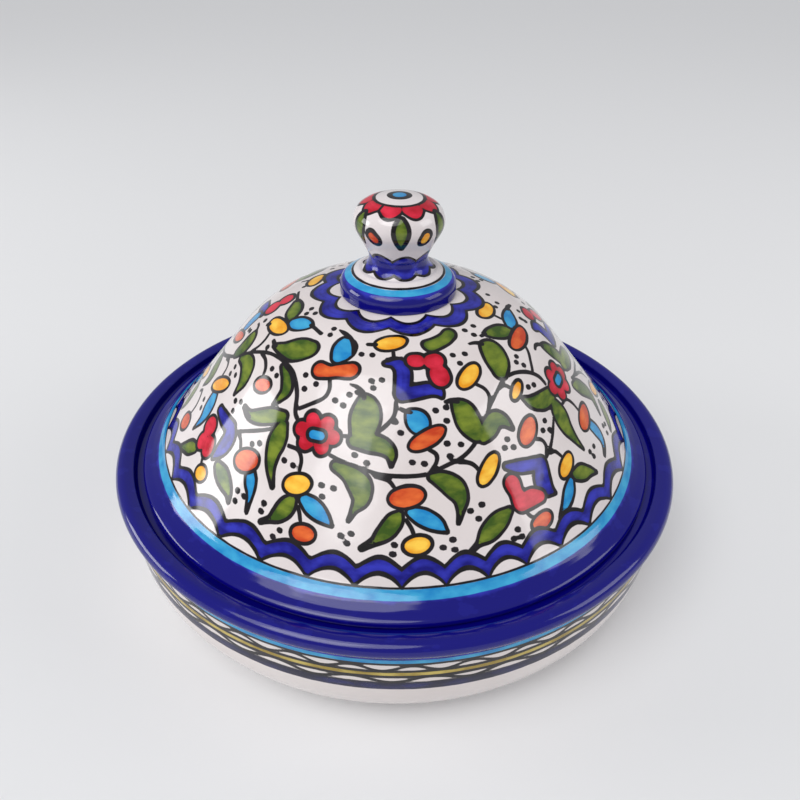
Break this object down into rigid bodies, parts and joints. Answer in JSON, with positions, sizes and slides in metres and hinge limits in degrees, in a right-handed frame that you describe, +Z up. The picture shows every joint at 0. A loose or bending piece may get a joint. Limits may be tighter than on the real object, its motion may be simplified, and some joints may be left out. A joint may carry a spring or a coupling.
{
  "type": "tagine pot",
  "caption": "Glazed tagine: shallow round dish on a foot ring, galleried rim, and a domed lift-off lid with a hollow knob on a stepped collar.",
  "frame": {"origin": "centre of the foot, on the plane that the foot ring rests on", "axes": "+Z up along the axis that the dish and the lid were turned on, +Y away from the side that the pattern is seen from"},
  "size_m": [0.278, 0.278, 0.187],
  "materials": {
    "dish_glaze": "clear gloss glaze over a cobalt rim and a white wall with painted bands",
    "lid_glaze": "clear gloss glaze over a white ground painted with a flower and leaf vine, cobalt brim",
    "knob_glaze": "clear gloss glaze over white with painted petals and leaves, cobalt collar"
  },
  "bodies": {
    "dish": {"dish": "dish_glaze"},
    "lid": {"lid_dome": "lid_glaze", "lid_knob": "knob_glaze"}
  },
  "joints": [
    {"name": "lid_lift", "type": "slide", "parent": "dish", "child": "lid", "axis": [0, 0, 1], "range_m": [0, 0.1]}
  ]
}
